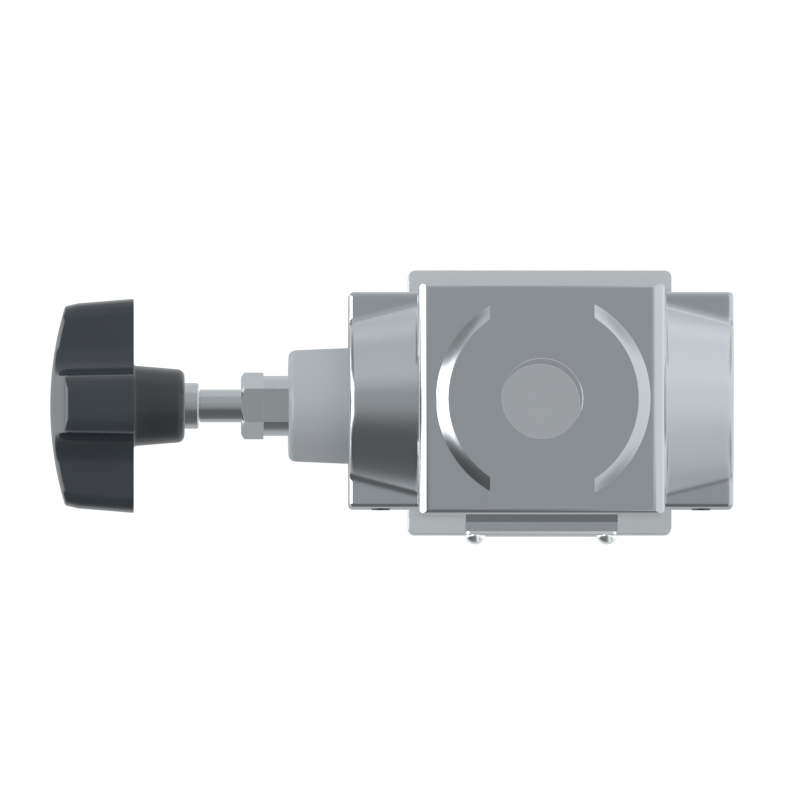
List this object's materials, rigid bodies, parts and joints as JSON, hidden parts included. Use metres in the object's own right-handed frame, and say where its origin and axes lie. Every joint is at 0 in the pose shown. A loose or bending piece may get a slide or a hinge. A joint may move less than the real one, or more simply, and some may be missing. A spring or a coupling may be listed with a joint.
{
  "type": "pressure control valve",
  "caption": "Hydraulic pressure control valve: cast body on a port plate, spring-loaded poppet set by a screw with a four-lobe hand knob and lock nut.",
  "frame": {"origin": "centre of the port in the underside, at the underside", "axes": "+X along the control axis away from the knob, +Z out of the front port, +Y away from the nameplate"},
  "size_m": [0.2008, 0.0811, 0.075],
  "materials": {
    "cast_grey": "satin grey paint over cast iron",
    "plate_paint": "matt light grey paint",
    "bonnet_paint": "matt light grey paint",
    "zinc_steel": "zinc plated",
    "ground_steel": "ground",
    "dark_steel": "black oxide",
    "spring_steel": "oiled",
    "screen_steel": "sintered, matt",
    "nameplate_metal": "satin, bare",
    "brass_orifice": "turned",
    "rubber_seal": "moulded",
    "knob_plastic": "moulded phenolic"
  },
  "bodies": {
    "housing": {"base_plate": "plate_paint", "plate_plug": "dark_steel", "base_seal": "rubber_seal", "base_dowels": "ground_steel", "base_screws": "dark_steel", "valve_body": "cast_grey", "port_screen": "screen_steel", "seat_bush": "ground_steel", "seat_seal": "rubber_seal", "end_plug": "zinc_steel", "end_plug_seal": "rubber_seal", "gallery_plugs": "dark_steel", "nameplate": "nameplate_metal", "drive_screws": "zinc_steel", "bonnet": "bonnet_paint", "bonnet_seal": "rubber_seal", "guide_bush": "zinc_steel", "spindle_seal": "rubber_seal"},
    "spring_carrier": {"spring_plate": "ground_steel", "thrust_ball": "ground_steel", "main_spring": "spring_steel"},
    "adjuster": {"spindle": "ground_steel", "stop_ring": "spring_steel", "spindle_collar": "zinc_steel", "knob_insert": "zinc_steel", "knob_pin": "ground_steel", "hand_knob": "knob_plastic"},
    "nut": {"lock_nut": "zinc_steel"},
    "control_poppet": {"poppet": "ground_steel", "damping_screw": "brass_orifice"}
  },
  "joints": [
    {"name": "screw_travel", "type": "slide", "parent": "housing", "child": "spring_carrier", "axis": [1, 0, 0], "range_m": [-0.0031, 0.0061], "deforming": ["main_spring"]},
    {"name": "knob_turn", "type": "hinge", "parent": "spring_carrier", "child": "adjuster", "pos_m": [0, -0.0015, 0.038], "axis": [1, 0, 0], "range_deg": [-720, 1440]},
    {"name": "nut_turn", "type": "hinge", "parent": "housing", "child": "nut", "pos_m": [0, -0.0015, 0.038], "axis": [1, 0, 0], "range_deg": [-90, 0]},
    {"name": "poppet_lift", "type": "slide", "parent": "housing", "child": "control_poppet", "axis": [-1, 0, 0], "range_m": [0, 0.003], "stiffness_N_per_m": 9000, "springref_m": -0.006, "deforming": ["main_spring"]}
  ],
  "couplings": [
    {"joint": "screw_travel", "follows": "knob_turn", "m_per_rad": 0.00023873}
  ]
}
